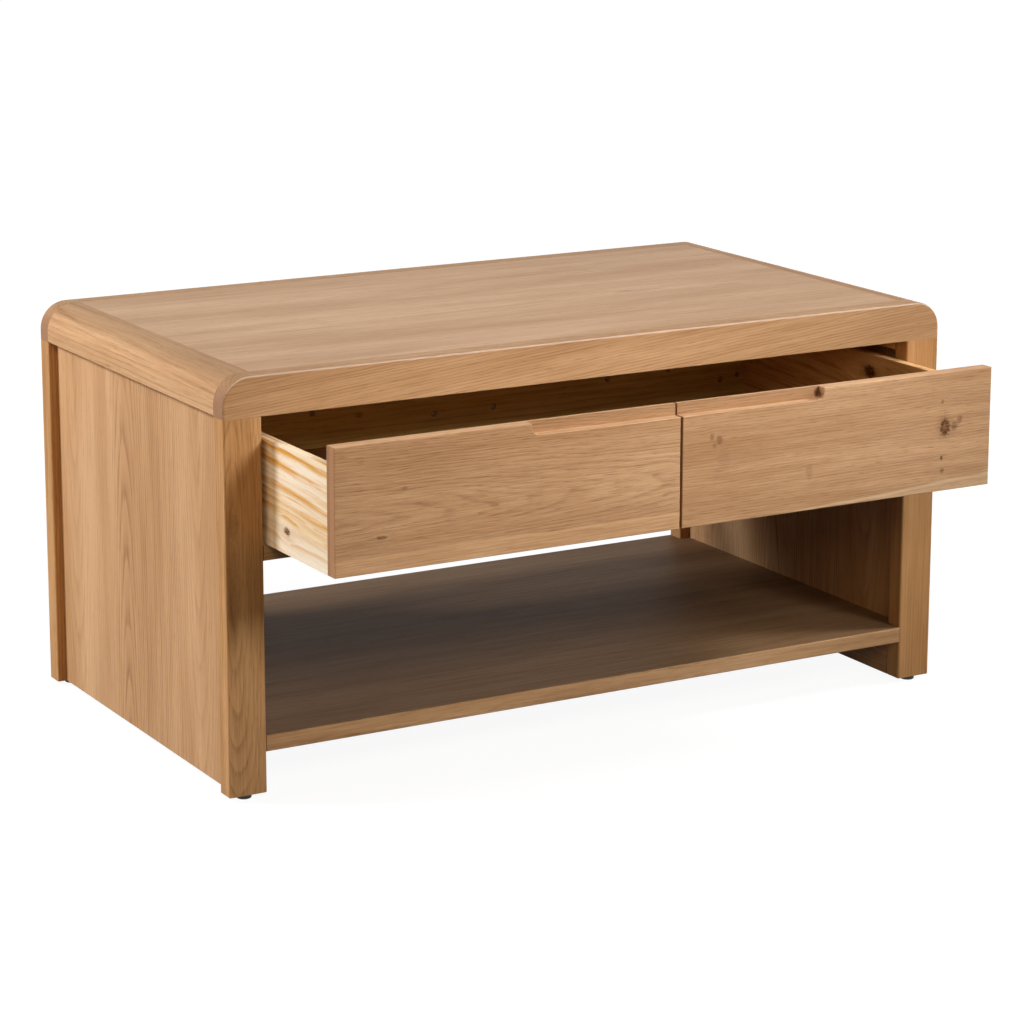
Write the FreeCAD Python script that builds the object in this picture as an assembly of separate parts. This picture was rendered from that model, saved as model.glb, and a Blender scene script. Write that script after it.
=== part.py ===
import FreeCAD, Part
import math
import os

# A low oak table: four legs under a rounded top frame, two end panels, an open shelf,
# and one wide drawer that slides through from front to back, faced at both ends.
# X runs along the table, Y from front to back, Z up. The origin is on the floor, at the
# middle of the four legs. All lengths are in millimetres.

# Overall size
table_width = 1000.0
table_depth = 550.0
table_height = 500.0

# Legs and top rails
leg_width = 48.0
frame_thickness = 26.0
rail_height = 48.0
end_rail_width = 44.0
shoulder_radius = 34.0
frame_arris = 2.5
joint_vee = 0.5

# Foot glides
glide_height = 6.0
glide_diameter = 18.0
glide_edge_radius = 1.5
glide_pin_diameter = 3.0
glide_pin_length = 14.0

# Top panel and the tongue round it
top_thickness = 22.0
top_tongue_thickness = 6.0
top_tongue_depth = 8.0

# End panels between the legs
panel_thickness = 20.0
panel_inset = 12.0
panel_tongue_thickness = 8.0
panel_tongue_depth = 8.0

# Shelf, and the bearers and runners that carry the drawer
shelf_top = 75.0
shelf_thickness = 20.0
bearer_height = 18.0
runner_width = 60.0
board_arris = 1.5

# Oak faces of the drawer
face_height = 147.0
face_thickness = 18.0
face_reveal = 2.0
face_side_gap = 3.0
face_split = 3.0
face_arris = 1.2

# Finger pull cut into the top of each pair of faces
pull_length = 400.0
pull_height = 14.0
pull_depth = 13.0
pull_corner_radius = 11.0

# Pine drawer box
drawer_opening = 175.0
drawer_side_height = 124.0
drawer_side_thickness = 12.0
drawer_board_thickness = 12.0
drawer_bottom_thickness = 6.0
drawer_bottom_rise = 10.0
drawer_groove_depth = 6.0
drawer_edge_radius = 1.0
drawer_batten_width = 40.0
drawer_batten_thickness = 8.0
drawer_batten_spacing = 440.0

# What the drawer runs on and between
strip_thickness = 1.5
strip_end_gap = 4.0
strip_clearance = 0.3
guide_height = 30.0
guide_clearance = 1.0
kicker_height = 16.0
batten_edge = 2.0
stop_length = 24.0
stop_width = 24.0
stop_height = 10.0
stop_inset = 1.0

# Cleats under the top
cleat_size = 18.0
cleat_end_gap = 16.0

# Dowels and screws
frame_dowel_diameter = 8.0
frame_dowel_length = 36.0
board_dowel_length = 30.0
board_dowel_seat = 12.0
corner_dowel_diameter = 6.0
corner_dowel_length = 24.0
corner_dowel_seat = 8.0
dowel_edge = 0.6
screw_diameter = 4.0
screw_head_diameter = 8.5
screw_head_height = 2.2
screw_tip_length = 4.0
face_screw_bite = 12.0
cleat_screw_bite = 11.0

# Clearances, and how far every cut runs past the face it opens
fit_clearance = 0.1
groove_clearance = 0.2
cut_overrun = 5.0
plane_tolerance = 0.01

# Places given as shares of the piece that carries them
leg_dowel_shares = (0.25, 0.75)
end_rail_dowel_shares = (1 / 3, 2 / 3)
end_rail_dowel_height_share = 0.52
board_dowel_shares = (0.12, 0.5, 0.88)
bearer_dowel_shares = (0.3, 0.7)
corner_dowel_shares = (0.35, 0.8)
face_screw_shares = ((0.095, 0.345), (0.485, 0.5), (0.885, 0.345))
cleat_screw_shares = (0.08, 0.36, 0.64, 0.92)
dome_shares = (0.72, 0.66)
arc_shares = (0, 0.5, 1)

# Planes worked out from the sizes above
left = -table_width / 2
front = -table_depth / 2
leg_inner = left + leg_width
leg_rear = front + frame_thickness
rail_bottom = table_height - rail_height
end_rail_inner = left + end_rail_width
top_underside = table_height - top_thickness
top_groove_low = table_height - (top_thickness + top_tongue_thickness) / 2
top_groove_high = top_groove_low + top_tongue_thickness
panel_outer = left + panel_inset
panel_inner = panel_outer + panel_thickness
panel_middle = panel_outer + panel_thickness / 2
shelf_bottom = shelf_top - shelf_thickness
face_top = rail_bottom - face_reveal
face_bottom = face_top - face_height
face_rear = front + face_thickness
face_outer = leg_inner + face_side_gap
face_inner = -face_split / 2
bearer_top = face_bottom - face_reveal
bearer_bottom = bearer_top - bearer_height
bearer_middle = bearer_top - bearer_height / 2
shelf_middle = shelf_top - shelf_thickness / 2
runner_inner = panel_inner + runner_width
strip_top = bearer_top + strip_thickness
drawer_bottom_edge = strip_top + strip_clearance
drawer_side_top = drawer_bottom_edge + drawer_side_height
drawer_side_inner = face_outer + drawer_side_thickness
drawer_board_inner = face_rear + drawer_board_thickness
drawer_panel_low = drawer_bottom_edge + drawer_bottom_rise
guide_inner = face_outer - guide_clearance

along_x = FreeCAD.Vector(1, 0, 0)
along_y = FreeCAD.Vector(0, 1, 0)
along_z = FreeCAD.Vector(0, 0, 1)
middle = FreeCAD.Vector(0, 0, 0)


# Tools for making and joining shapes

def box(low, high):
    """A box from its lowest to its highest corner."""
    size = [b - a for a, b in zip(low, high)]
    return Part.makeBox(*size, FreeCAD.Vector(*low))


def in_plane(limits, axis, place):
    """True if a bounding box is flat in the plane at this place on the axis."""
    low = getattr(limits, axis + "Min")
    high = getattr(limits, axis + "Max")
    return abs(low - place) < plane_tolerance and abs(high - place) < plane_tolerance


def edges_in(shape, **planes):
    """The edges of a shape that lie in every plane named, such as X=left."""
    return [e for e in shape.Edges if all(in_plane(e.BoundBox, a, p) for a, p in planes.items())]


def mirror_x(shape):
    return shape.mirror(middle, along_x)


def mirror_y(shape):
    return shape.mirror(middle, along_y)


def prism(points, depth):
    """A solid from a closed outline of points, pushed along a vector."""
    corners = [FreeCAD.Vector(*p) for p in points]
    wire = Part.makePolygon(corners + corners[:1])
    return Part.Face(wire).extrude(depth)


def corner_arc(centre_x, centre_z, radius, angle, y):
    """A quarter circle in an upright plane, from the angle given to 90 degrees further, in XZ."""
    turns = [angle + share * math.pi / 2 for share in arc_shares]
    points = [
        FreeCAD.Vector(centre_x + radius * math.cos(t), y, centre_z + radius * math.sin(t))
        for t in turns
    ]
    return Part.Arc(*points).toShape()


def line(x0, z0, x1, z1, y):
    """A straight edge in an upright plane."""
    return Part.LineSegment(FreeCAD.Vector(x0, y, z0), FreeCAD.Vector(x1, y, z1)).toShape()


def dowel(centre, axis, diameter, length):
    """A wooden dowel with broken ends, centred on a point."""
    pin = Part.makeCylinder(diameter / 2, length, centre - axis * (length / 2), axis)
    rims = [e for e in pin.Edges if isinstance(e.Curve, Part.Circle)]
    return pin.makeChamfer(dowel_edge, rims)


def dowel_hole(centre, axis, diameter, length):
    """The hole for a dowel: the same place, a little wider and longer."""
    reach = length + 2 * fit_clearance
    return Part.makeCylinder(diameter / 2 + fit_clearance, reach, centre - axis * (reach / 2), axis)


def screw(seat, axis, length, clearance=0):
    """A round-head screw whose head sits on the seat point, pointing along the axis.

    With a clearance it is the hole that the screw goes in.
    """
    head = screw_head_diameter / 2 + clearance
    shank = screw_diameter / 2 + clearance
    crown = screw_head_height + clearance
    tip = length + clearance
    dome = Part.Arc(
        FreeCAD.Vector(0, 0, -crown),
        FreeCAD.Vector(head * dome_shares[0], 0, -crown * dome_shares[1]),
        FreeCAD.Vector(head, 0, 0),
    ).toShape()
    outline = Part.Wire([
        dome,
        line(head, 0, shank, 0, 0),
        line(shank, 0, shank, tip - screw_tip_length, 0),
        line(shank, tip - screw_tip_length, 0, tip, 0),
        line(0, tip, 0, -crown, 0),
    ])
    solid = Part.Face(outline).revolve(middle, along_z, 360)
    solid.Placement = FreeCAD.Placement(seat, FreeCAD.Rotation(along_z, axis))
    return solid


# Places of the dowels and screws, each a list for one corner, end or side

def leg_dowel_places():
    """Dowels that stand in the top of the front left leg and enter the rail above."""
    y = (front + leg_rear) / 2
    return [(FreeCAD.Vector(left + s * leg_width, y, rail_bottom), along_z) for s in leg_dowel_shares]


def end_rail_dowel_places():
    """Dowels from the front rail into the end of the left end rail."""
    z = rail_bottom + end_rail_dowel_height_share * rail_height
    return [
        (FreeCAD.Vector(left + s * end_rail_width, leg_rear, z), along_y)
        for s in end_rail_dowel_shares
    ]


def board_dowel_places(height):
    """Dowels from the left end panel into the shelf or the runner, at its middle height."""
    x = panel_inner - board_dowel_seat + board_dowel_length / 2
    inside = -2 * leg_rear
    return [(FreeCAD.Vector(x, leg_rear + s * inside, height), along_x) for s in board_dowel_shares]


def bearer_dowel_places():
    """Dowels from the front left leg into the end of the front bearer."""
    x = leg_inner - board_dowel_seat + board_dowel_length / 2
    return [
        (FreeCAD.Vector(x, front + s * frame_thickness, bearer_middle), along_x)
        for s in bearer_dowel_shares
    ]


def corner_dowel_places():
    """Dowels from the drawer's left side into the end of its front board."""
    x = drawer_side_inner - corner_dowel_seat + corner_dowel_length / 2
    y = face_rear + drawer_board_thickness / 2
    return [
        (FreeCAD.Vector(x, y, drawer_bottom_edge + s * drawer_side_height), along_x)
        for s in corner_dowel_shares
    ]


def face_screw_seats():
    """Where the screws of the front left face sit on the back of the drawer's front board."""
    width = face_outer - face_inner
    low = drawer_bottom_edge
    return [
        FreeCAD.Vector(face_inner + s * width, drawer_board_inner, low + h * drawer_side_height)
        for s, h in face_screw_shares
    ]


def cleat_screw_seats():
    """Where the screws of the front cleat sit on its underside."""
    start = end_rail_inner + cleat_end_gap
    return [
        FreeCAD.Vector(start - 2 * s * start, leg_rear + cleat_size / 2, top_underside - cleat_size)
        for s in cleat_screw_shares
    ]


def frame_dowels(places):
    return [dowel(p, a, frame_dowel_diameter, frame_dowel_length) for p, a in places]


def frame_dowel_holes(places):
    return [dowel_hole(p, a, frame_dowel_diameter, frame_dowel_length) for p, a in places]


def board_dowels(height):
    places = board_dowel_places(height)
    return [dowel(p, a, frame_dowel_diameter, board_dowel_length) for p, a in places]


def board_dowel_holes(height):
    places = board_dowel_places(height)
    return [dowel_hole(p, a, frame_dowel_diameter, board_dowel_length) for p, a in places]


def bearer_dowels():
    places = bearer_dowel_places()
    return [dowel(p, a, corner_dowel_diameter, board_dowel_length) for p, a in places]


def bearer_dowel_holes():
    places = bearer_dowel_places()
    return [dowel_hole(p, a, corner_dowel_diameter, board_dowel_length) for p, a in places]


def corner_dowels():
    places = corner_dowel_places()
    return [dowel(p, a, corner_dowel_diameter, corner_dowel_length) for p, a in places]


def corner_dowel_holes():
    places = corner_dowel_places()
    return [dowel_hole(p, a, corner_dowel_diameter, corner_dowel_length) for p, a in places]


def face_screws(clearance=0):
    length = drawer_board_thickness + face_screw_bite
    return [screw(seat, -along_y, length, clearance) for seat in face_screw_seats()]


def cleat_screws(clearance=0):
    length = cleat_size + cleat_screw_bite
    return [screw(seat, along_z, length, clearance) for seat in cleat_screw_seats()]


def both_sides(shapes):
    return shapes + [mirror_x(s) for s in shapes]


def both_ends(shapes):
    return shapes + [mirror_y(s) for s in shapes]


# The top frame

def top_rail():
    """The front top rail: full width, with rounded shoulders and end grain showing at both ends."""
    shoulder = table_height - shoulder_radius
    inset = left + shoulder_radius
    outline = Part.Wire([
        line(left, rail_bottom, -left, rail_bottom, front),
        line(-left, rail_bottom, -left, shoulder, front),
        corner_arc(-inset, shoulder, shoulder_radius, 0, front),
        line(-inset, table_height, inset, table_height, front),
        corner_arc(inset, shoulder, shoulder_radius, math.pi / 2, front),
        line(left, shoulder, left, rail_bottom, front),
    ])
    rail = Part.Face(outline).extrude(along_y * frame_thickness)
    arrises = [e for e in edges_in(rail, Y=front) if not in_plane(e.BoundBox, "Z", rail_bottom)]
    rail = rail.makeFillet(frame_arris, arrises)
    lower = [e for e in edges_in(rail, Z=rail_bottom) if not in_plane(e.BoundBox, "Y", leg_rear)]
    rail = rail.makeChamfer(joint_vee, lower)
    groove = box(
        (end_rail_inner, leg_rear - top_tongue_depth, top_groove_low),
        (-end_rail_inner, leg_rear + cut_overrun, top_groove_high),
    )
    holes = frame_dowel_holes(leg_dowel_places() + end_rail_dowel_places())
    return rail.cut([groove] + both_sides(holes))


def end_rail():
    """The left end rail: rounded to match the shoulders, between the front and back rails."""
    shoulder = table_height - shoulder_radius
    inset = left + shoulder_radius
    outline = Part.Wire([
        line(left, rail_bottom, left, shoulder, leg_rear),
        corner_arc(inset, shoulder, shoulder_radius, math.pi / 2, leg_rear),
        line(inset, table_height, end_rail_inner, table_height, leg_rear),
        line(end_rail_inner, table_height, end_rail_inner, rail_bottom, leg_rear),
        line(end_rail_inner, rail_bottom, left, rail_bottom, leg_rear),
    ])
    rail = Part.Face(outline).extrude(along_y * (-2 * leg_rear))
    rail = rail.makeFillet(frame_arris, edges_in(rail, X=left, Z=rail_bottom))
    rail = rail.makeChamfer(joint_vee, edges_in(rail, X=end_rail_inner, Z=table_height))
    groove = box(
        (end_rail_inner - top_tongue_depth, leg_rear - cut_overrun, top_groove_low),
        (end_rail_inner + cut_overrun, cut_overrun - leg_rear, top_groove_high),
    )
    return rail.cut([groove] + both_ends(frame_dowel_holes(end_rail_dowel_places())))


def top_panel():
    """The top, level with the rails, with a tongue on all four sides."""
    panel = box((end_rail_inner, leg_rear, top_underside), (-end_rail_inner, -leg_rear, table_height))
    ends = [e for x in (end_rail_inner, -end_rail_inner) for e in edges_in(panel, X=x, Z=table_height)]
    panel = panel.makeChamfer(joint_vee, ends)
    reach = top_tongue_depth - groove_clearance
    low = top_groove_low + groove_clearance
    high = top_groove_high - groove_clearance
    lengthwise = box((end_rail_inner - reach, leg_rear, low), (reach - end_rail_inner, -leg_rear, high))
    crosswise = box((end_rail_inner, leg_rear - reach, low), (-end_rail_inner, reach - leg_rear, high))
    panel = panel.fuse([lengthwise, crosswise]).removeSplitter()
    return panel.cut(both_ends(cleat_screws(fit_clearance)))


def top_cleat():
    """The front cleat: a batten behind the front rail, screwed up into the top."""
    start = end_rail_inner + cleat_end_gap
    free = leg_rear + cleat_size
    low = top_underside - cleat_size
    cleat = box((start, leg_rear, low), (-start, free, top_underside))
    cleat = cleat.makeChamfer(batten_edge, edges_in(cleat, Y=free, Z=low))
    return cleat.cut(cleat_screws(fit_clearance))


# Legs, end panels and shelf

def leg():
    """The front left leg, grooved behind for the end panel and bored for the rail and the bearer."""
    post = box((left, front, glide_height), (leg_inner, leg_rear, rail_bottom))
    arrises = [e for x in (left, leg_inner) for y in (front, leg_rear) for e in edges_in(post, X=x, Y=y)]
    post = post.makeFillet(frame_arris, arrises)
    post = post.makeChamfer(joint_vee, edges_in(post, Z=rail_bottom) + edges_in(post, Z=glide_height))
    half = panel_tongue_thickness / 2
    groove = box(
        (panel_middle - half, leg_rear - panel_tongue_depth, glide_height - cut_overrun),
        (panel_middle + half, leg_rear + cut_overrun, rail_bottom + cut_overrun),
    )
    centre = FreeCAD.Vector((left + leg_inner) / 2, (front + leg_rear) / 2, glide_height - cut_overrun)
    bore = glide_pin_diameter / 2 + fit_clearance
    pin_hole = Part.makeCylinder(bore, glide_pin_length + cut_overrun + fit_clearance, centre)
    return post.cut([groove, pin_hole] + frame_dowel_holes(leg_dowel_places()) + bearer_dowel_holes())


def foot_glide():
    """The front left glide: a low round foot on a pin."""
    rim = glide_diameter / 2
    pin = glide_pin_diameter / 2
    pin_top = glide_height + glide_pin_length
    outline = Part.Wire([
        line(0, 0, rim - glide_edge_radius, 0, 0),
        corner_arc(rim - glide_edge_radius, glide_edge_radius, glide_edge_radius, -math.pi / 2, 0),
        line(rim, glide_edge_radius, rim, glide_height, 0),
        line(rim, glide_height, pin, glide_height, 0),
        line(pin, glide_height, pin, pin_top, 0),
        line(pin, pin_top, 0, pin_top, 0),
        line(0, pin_top, 0, 0, 0),
    ])
    foot = Part.Face(outline).revolve(middle, along_z, 360)
    foot.translate(FreeCAD.Vector((left + leg_inner) / 2, (front + leg_rear) / 2, 0))
    return foot


def side_panel():
    """The left end panel, tongued into the legs in front and behind."""
    panel = box((panel_outer, leg_rear, glide_height), (panel_inner, -leg_rear, rail_bottom))
    lower = [e for x in (panel_outer, panel_inner) for e in edges_in(panel, X=x, Z=glide_height)]
    panel = panel.makeChamfer(joint_vee, lower)
    half = panel_tongue_thickness / 2 - groove_clearance
    reach = panel_tongue_depth - groove_clearance
    tongue = box(
        (panel_middle - half, leg_rear - reach, glide_height),
        (panel_middle + half, reach - leg_rear, rail_bottom),
    )
    panel = panel.fuse(tongue).removeSplitter()
    return panel.cut(board_dowel_holes(shelf_middle) + board_dowel_holes(bearer_middle))


def shelf():
    """The shelf from end panel to end panel, notched round the four legs and level with their faces."""
    quarter = [(leg_inner, front), (leg_inner, leg_rear), (panel_inner, leg_rear)]
    corner_turns = ((1, 1, 1), (1, -1, -1), (-1, -1, 1), (-1, 1, -1))
    outline = [(x * sx, y * sy, shelf_bottom) for sx, sy, step in corner_turns for x, y in quarter[::step]]
    board = prism(outline, along_z * shelf_thickness)
    ends = [(y, z) for y in (front, -front) for z in (shelf_bottom, shelf_top)]
    board = board.makeFillet(board_arris, [e for y, z in ends for e in edges_in(board, Y=y, Z=z)])
    return board.cut(both_sides(board_dowel_holes(shelf_middle)))


def shelf_rail():
    """The left shelf rail: a batten under the end of the shelf, level with the legs' inner faces."""
    batten = box((panel_inner, leg_rear, glide_height), (leg_inner, -leg_rear, shelf_bottom))
    return batten.makeChamfer(joint_vee, edges_in(batten, X=leg_inner, Z=glide_height))


# What the drawer runs on and between

def bearer():
    """The front bearer: a rail between the front legs, under the drawer."""
    rail = box((leg_inner, front, bearer_bottom), (-leg_inner, leg_rear, bearer_top))
    arrises = [e for z in (bearer_bottom, bearer_top) for e in edges_in(rail, Y=front, Z=z)]
    return rail.makeFillet(board_arris, arrises).cut(both_sides(bearer_dowel_holes()))


def runner():
    """The left runner: a batten along the end panel, from the front bearer to the back one."""
    batten = box((panel_inner, leg_rear, bearer_bottom), (runner_inner, -leg_rear, bearer_top))
    batten = batten.makeChamfer(batten_edge, edges_in(batten, X=runner_inner, Z=bearer_bottom))
    return batten.cut(board_dowel_holes(bearer_middle))


def kicker():
    """The left kicker: a batten over the drawer side that keeps the open drawer from tipping."""
    batten = box((panel_inner, leg_rear, rail_bottom - kicker_height), (leg_inner, -leg_rear, rail_bottom))
    return batten.makeChamfer(batten_edge, edges_in(batten, X=leg_inner, Z=rail_bottom - kicker_height))


def side_guide():
    """The left guide: a batten beside the drawer, low on the end panel."""
    high = bearer_top + guide_height
    batten = box((panel_inner, leg_rear, bearer_top), (guide_inner, -leg_rear, high))
    return batten.makeChamfer(batten_edge, edges_in(batten, X=guide_inner, Z=high))


def runner_strip():
    """The left strip: smooth plastic under the drawer side, along the bearers and the runner."""
    inner = drawer_side_inner + guide_clearance
    start = front + strip_end_gap
    strip = box((guide_inner, start, bearer_top), (inner, -start, strip_top))
    ends = edges_in(strip, Y=start, Z=strip_top) + edges_in(strip, Y=-start, Z=strip_top)
    return strip.makeChamfer(strip_thickness / 2, ends)


def drawer_stop():
    """The left stop: a block halfway along the runner that stops the drawer both ways."""
    inner = runner_inner - stop_inset
    outer = inner - stop_length
    y = stop_width / 2
    high = bearer_top + stop_height
    block = box((outer, -y, bearer_top), (inner, y, high))
    upper = edges_in(block, X=outer, Z=high) + edges_in(block, X=inner, Z=high)
    return block.makeChamfer(batten_edge, upper)


# The drawer, made shut

def drawer_face():
    """The front left face, with its half of the finger pull and a rounded corner at the pull's end."""
    face = box((face_outer, front, face_bottom), (face_inner, face_rear, face_top))
    end = -pull_length / 2
    ledge = face_top - pull_height
    turn = end + pull_corner_radius
    above = face_top + cut_overrun
    past = face_inner + cut_overrun
    start = front - cut_overrun
    outline = Part.Wire([
        line(end, above, end, ledge + pull_corner_radius, start),
        corner_arc(turn, ledge + pull_corner_radius, pull_corner_radius, math.pi, start),
        line(turn, ledge, past, ledge, start),
        line(past, ledge, past, above, start),
        line(past, above, end, above, start),
    ])
    face = face.cut(Part.Face(outline).extrude(along_y * (pull_depth + cut_overrun)))
    face = face.makeFillet(face_arris, edges_in(face, Y=front))
    return face.cut(face_screws(fit_clearance))


def drawer_side():
    """The left side of the drawer, grooved for the bottom."""
    side = box(
        (face_outer, face_rear, drawer_bottom_edge),
        (drawer_side_inner, -face_rear, drawer_side_top),
    )
    rims = [e for x in (face_outer, drawer_side_inner) for e in edges_in(side, X=x, Z=drawer_side_top)]
    side = side.makeFillet(drawer_edge_radius, rims)
    return side.cut([bottom_groove()] + both_ends(corner_dowel_holes()))


def drawer_board():
    """The front board of the drawer, between its sides, which carries the two front faces."""
    board = box(
        (drawer_side_inner, face_rear, drawer_bottom_edge),
        (-drawer_side_inner, drawer_board_inner, drawer_side_top),
    )
    board = board.makeFillet(drawer_edge_radius, edges_in(board, Y=drawer_board_inner, Z=drawer_side_top))
    return board.cut([bottom_groove()] + both_sides(corner_dowel_holes() + face_screws(fit_clearance)))


def bottom_groove():
    """The space that the drawer bottom takes up in the sides and boards."""
    x = drawer_side_inner - drawer_groove_depth
    y = drawer_board_inner - drawer_groove_depth
    high = drawer_panel_low + drawer_bottom_thickness + groove_clearance
    return box((x, y, drawer_panel_low), (-x, -y, high))


def drawer_bottom():
    """The bottom of the drawer, a thin board held in the grooves."""
    x = drawer_side_inner - drawer_groove_depth + groove_clearance
    y = drawer_board_inner - drawer_groove_depth + groove_clearance
    return box((x, y, drawer_panel_low), (-x, -y, drawer_panel_low + drawer_bottom_thickness))


def drawer_batten():
    """The left batten that stiffens the drawer bottom from below."""
    x = -drawer_batten_spacing / 2
    low = drawer_panel_low - drawer_batten_thickness
    batten = box(
        (x - drawer_batten_width / 2, drawer_board_inner, low),
        (x + drawer_batten_width / 2, -drawer_board_inner, drawer_panel_low),
    )
    lower = [e for side in (-1, 1) for e in edges_in(batten, X=x + side * drawer_batten_width / 2, Z=low)]
    return batten.makeChamfer(batten_edge, lower)


# The whole table, node by node

def fixed_nodes():
    """Every node that stands still, by name."""
    nodes = {
        "top_panel": top_panel(),
        "front_top_rail": top_rail(),
        "front_top_cleat": top_cleat(),
        "left_end_rail": end_rail(),
        "left_side_panel": side_panel(),
        "left_kicker": kicker(),
        "left_side_guide": side_guide(),
        "left_runner": runner(),
        "left_runner_strip": runner_strip(),
        "left_drawer_stop": drawer_stop(),
        "shelf": shelf(),
        "left_shelf_rail": shelf_rail(),
        "front_bearer": bearer(),
        "front_left_leg": leg(),
        "front_left_foot": foot_glide(),
    }
    for name in ("leg", "foot"):
        nodes["back_left_" + name] = mirror_y(nodes["front_left_" + name])
    for name in ("top_rail", "top_cleat", "bearer"):
        nodes["back_" + name] = mirror_y(nodes["front_" + name])
    for name in [n for n in nodes if "left_" in n]:
        nodes[name.replace("left_", "right_")] = mirror_x(nodes[name])
    groups = {
        "leg_dowels": both_ends(both_sides(frame_dowels(leg_dowel_places()))),
        "end_rail_dowels": both_ends(both_sides(frame_dowels(end_rail_dowel_places()))),
        "shelf_dowels": both_sides(board_dowels(shelf_middle)),
        "runner_dowels": both_sides(board_dowels(bearer_middle)),
        "bearer_dowels": both_ends(both_sides(bearer_dowels())),
        "cleat_screws": both_ends(cleat_screws()),
    }
    nodes.update({name: Part.makeCompound(solids) for name, solids in groups.items()})
    return nodes


def drawer_nodes():
    """Every node of the drawer, by name, drawn out as far as it stands open."""
    nodes = {
        "front_left_drawer_face": drawer_face(),
        "left_drawer_side": drawer_side(),
        "front_drawer_board": drawer_board(),
        "drawer_bottom": drawer_bottom(),
        "left_drawer_batten": drawer_batten(),
        "front_face_screws": Part.makeCompound(both_sides(face_screws())),
        "drawer_corner_dowels": Part.makeCompound(both_ends(both_sides(corner_dowels()))),
    }
    for name in [n for n in nodes if n.startswith("front_")]:
        nodes[name.replace("front_", "back_")] = mirror_y(nodes[name])
    for name in [n for n in nodes if "left_" in n]:
        nodes[name.replace("left_", "right_")] = mirror_x(nodes[name])
    for shape in nodes.values():
        shape.translate(along_y * -drawer_opening)
    return nodes


def main():
    os.makedirs("parts", exist_ok=True)
    for name, shape in {**fixed_nodes(), **drawer_nodes()}.items():
        shape.exportStep(os.path.join("parts", name + ".step"))
        print(name, len(shape.Solids), round(shape.Volume), shape.isValid())


main()
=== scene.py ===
"""A low oak table with one wide drawer, dressed for a plain studio picture.

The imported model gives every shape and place. This script gives its pieces their wood, plastic and steel,
cuts the cross recesses of the screws, and sets up the floor, the lamps and the camera.
"""

import logging
import math
from dataclasses import dataclass, replace
from enum import Enum
from typing import Dict, List, NamedTuple, Optional, Sequence, Tuple, Union

import bpy
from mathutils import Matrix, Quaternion, Vector


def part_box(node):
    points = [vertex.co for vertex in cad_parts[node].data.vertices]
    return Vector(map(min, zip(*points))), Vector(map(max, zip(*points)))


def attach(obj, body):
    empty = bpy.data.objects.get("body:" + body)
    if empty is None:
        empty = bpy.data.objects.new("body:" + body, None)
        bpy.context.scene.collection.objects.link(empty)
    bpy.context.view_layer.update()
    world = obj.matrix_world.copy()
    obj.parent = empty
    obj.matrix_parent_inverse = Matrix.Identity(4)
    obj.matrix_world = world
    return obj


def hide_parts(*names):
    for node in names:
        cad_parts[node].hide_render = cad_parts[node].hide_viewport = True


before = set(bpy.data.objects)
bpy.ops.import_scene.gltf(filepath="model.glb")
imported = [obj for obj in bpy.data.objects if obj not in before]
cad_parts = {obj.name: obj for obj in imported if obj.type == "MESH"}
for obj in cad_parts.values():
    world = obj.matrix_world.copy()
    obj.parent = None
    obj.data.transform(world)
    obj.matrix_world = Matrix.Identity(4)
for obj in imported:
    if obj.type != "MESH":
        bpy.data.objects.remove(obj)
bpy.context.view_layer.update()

LOG = logging.getLogger("oak_table")

Colour = Tuple[float, float, float]
Place = Tuple[float, float, float]
Span = Tuple[float, float]
Socket = bpy.types.NodeSocket
Value = Union[Socket, float]
Solid = bpy.types.Object
Faces = List[Tuple[int, ...]]

SIDES = ("left", "right")
ENDS = ("front", "back")
WHITE = (1.0, 1.0, 1.0, 1.0)


def srgb(red: float, green: float, blue: float) -> Colour:
    """A colour as a screen shows it, turned into the linear values that shaders use.

    Args:
        red: Red from 0 to 255.
        green: Green from 0 to 255.
        blue: Blue from 0 to 255.

    Returns:
        The linear colour.
    """
    knee, slope, offset, power = 0.04045, 12.92, 0.055, 2.4
    shares = [channel / 255 for channel in (red, green, blue)]
    return tuple(s / slope if s <= knee else ((s + offset) / (1 + offset)) ** power for s in shares)


class Cut(Enum):
    """How a piece lies in the table: its axes along the grain, across its face and into its face."""

    FLAT_LENGTHWISE = "XYZ"
    FLAT_CROSSWISE = "YXZ"
    FRONT_LENGTHWISE = "XZY"
    FRONT_UPRIGHT = "ZXY"
    SIDE_CROSSWISE = "YZX"
    SIDE_UPRIGHT = "ZYX"


@dataclass(frozen=True)
class Noise:
    """Soft noise drawn out along the grain: its cells to the metre along and across, and where it starts."""

    along: float
    across: float
    start: Place = (0.0, 0.0, 0.0)
    detail: float = 3.0
    roughness: float = 0.5


# The noises that the woods are made of
KNOT_RIMS = Noise(160.0, 260.0, detail=4.0, roughness=0.8)
KNOT_SPECKS = Noise(420.0, 520.0, (6.0, 1.0, 2.0), 2.0, 0.6)
SAP_BORDER = Noise(9.0, 60.0, (3.0, 5.0, 1.0), roughness=0.6)
SLOW_BENDS = Noise(3.2, 9.0, (5.0, 2.0, 8.0))
QUICK_BENDS = Noise(5.0, 70.0, (1.0, 7.0, 3.0))
FIGURE = Noise(5.0, 110.0, (2.0, 9.0, 4.0), roughness=0.55)
BROAD_TONES = Noise(1.9, 16.0, (4.0, 1.0, 6.0))
PORE_DASHES = Noise(52.0, 900.0, detail=2.0)

# Where the smooth steps of knots and noises start and end
FULL_SPAN = (0.0, 1.0)
KNOT_SPAN = (0.95, 1.5)
PUSH_SPAN = (0.6, 3.6)
SPECK_SPAN = (0.3, 0.6)
FIGURE_SPAN = (0.36, 0.64)
BROAD_SPAN = (0.3, 0.7)
PORE_SPAN = (0.54, 0.7)
CLOUD_SPAN = (0.2, 0.8)

# The same for the way that a surface faces: upright for the painted shade on the pull's wall, up for the
# painted light on top faces, over a rounded edge for the painted highlight, and along the grain for the end
# tone
UPRIGHT_SPAN = (0.3, 0.7)
TOP_PAINTED_LIGHT_SPAN = (0.5, 0.95)
EDGE_HIGHLIGHT_SPAN = (0.15, 0.45)
END_SPAN = (0.6, 0.95)

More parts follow.
